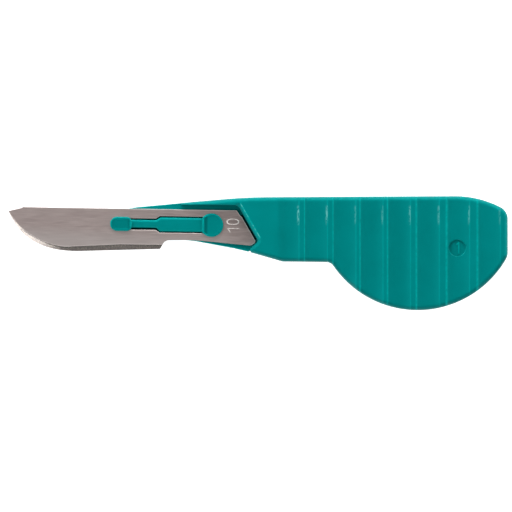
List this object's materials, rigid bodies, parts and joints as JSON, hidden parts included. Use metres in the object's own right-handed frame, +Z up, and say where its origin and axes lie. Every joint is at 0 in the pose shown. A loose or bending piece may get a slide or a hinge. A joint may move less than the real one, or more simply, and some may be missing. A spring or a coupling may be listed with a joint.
{
  "type": "disposable scalpel",
  "caption": "Short disposable scalpel: a slotted surgical steel blade staked to a flat moulded plastic handle with a grooved grip that swells into a round lobe.",
  "frame": {"origin": "on the surface that the scalpel lies on, under the middle of its bounding box", "axes": "+X runs along the scalpel from the blade's tip to the end of the handle, +Y points from the cutting edge to the blade's spine, +Z points up from the back of the handle to the side that carries the blade"},
  "size_m": [0.079, 0.018, 0.004],
  "materials": {
    "teal_plastic": "satin moulded plastic, opaque teal",
    "blade_steel": "bare stainless steel, brushed flat faces and a ground edge"
  },
  "bodies": {
    "root": {"handle": "teal_plastic", "blade": "blade_steel"}
  },
  "joints": []
}
